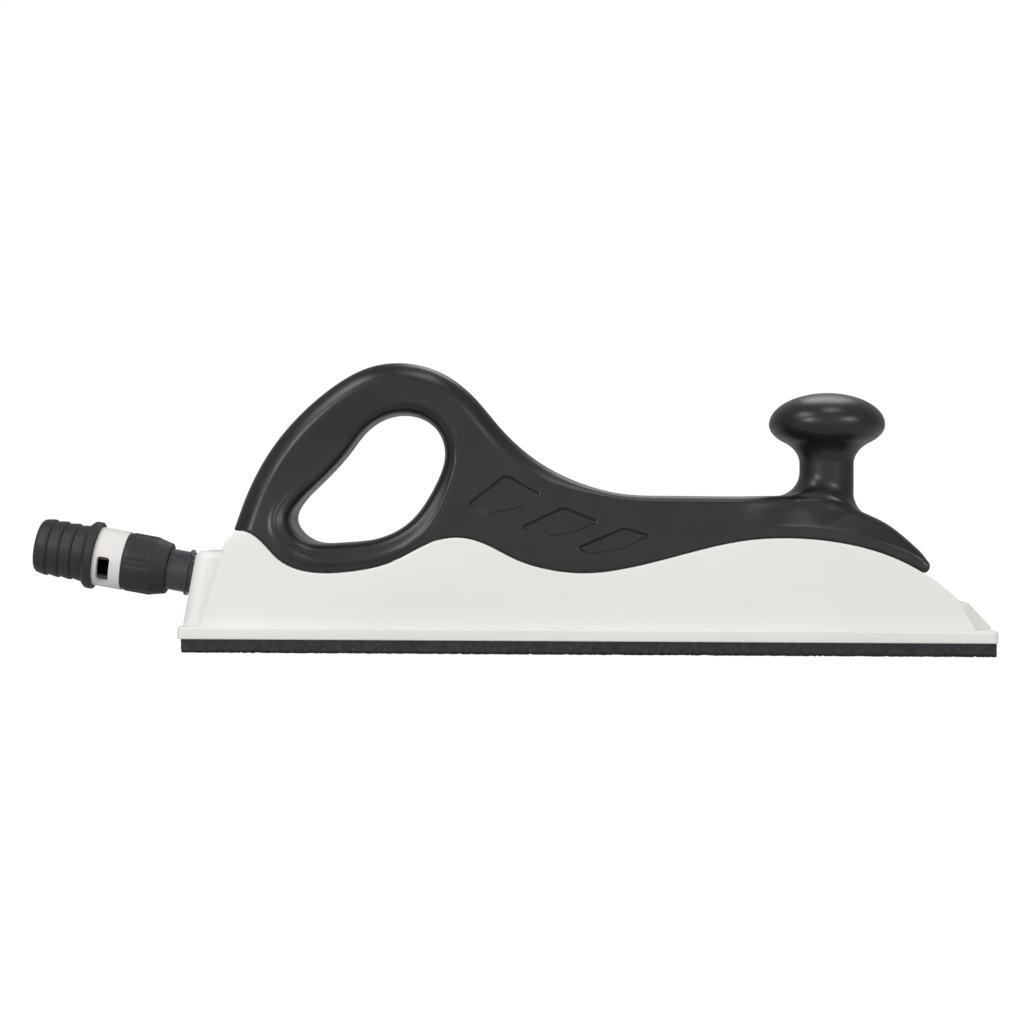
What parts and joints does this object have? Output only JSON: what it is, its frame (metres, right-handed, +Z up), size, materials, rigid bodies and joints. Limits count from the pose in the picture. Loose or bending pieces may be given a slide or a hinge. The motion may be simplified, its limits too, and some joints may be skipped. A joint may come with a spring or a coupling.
{
  "type": "hand sanding block",
  "caption": "Long hand sanding block with a loop grip, front knob, foam pad, dust extraction housing and a swivelling hose connector with a bleed regulator.",
  "frame": {"origin": "centre of the sanding face, on its underside", "axes": "+X along the block towards the knob, +Y to the operator's left, +Z up, away from the work; the hose connector points along -X"},
  "size_m": [0.4804, 0.071, 0.1443],
  "materials": {
    "white_plastic": "satin moulded, warm white",
    "black_plastic": "fine grained satin, black",
    "tube_plastic": "polished, dark grey",
    "grey_plastic": "matt, dark grey",
    "foam": "dense closed foam, cut edge",
    "hook_fabric": "hook tape, rough",
    "rubber": "matt black",
    "steel": "zinc plated"
  },
  "bodies": {
    "block": {"hook_layer": "hook_fabric", "foam_pad": "foam", "base_plate": "grey_plastic", "plate_gasket": "rubber", "plate_screws": "steel", "housing": "white_plastic", "handle_left": "black_plastic", "handle_right": "black_plastic", "handle_clamp_screws": "steel", "handle_mount_screws": "steel", "port_seal": "rubber"},
    "hose_connector": {"swivel_tube": "tube_plastic", "tube_clip": "steel", "hose_cuff": "black_plastic", "regulator_o_ring": "rubber"},
    "regulator": {"regulator_sleeve": "black_plastic", "bleed_ring": "white_plastic"}
  },
  "joints": [
    {"name": "hose_swivel", "type": "hinge", "parent": "block", "child": "hose_connector", "pos_m": [-0.1976, 0, 0.0375], "axis": [-0.9848, 0, 0.1736], "continuous": true},
    {"name": "regulator_turn", "type": "hinge", "parent": "hose_connector", "child": "regulator", "pos_m": [-0.22714, 0, 0.04271], "axis": [-0.9848, 0, 0.1736], "range_deg": [0, 60]}
  ]
}
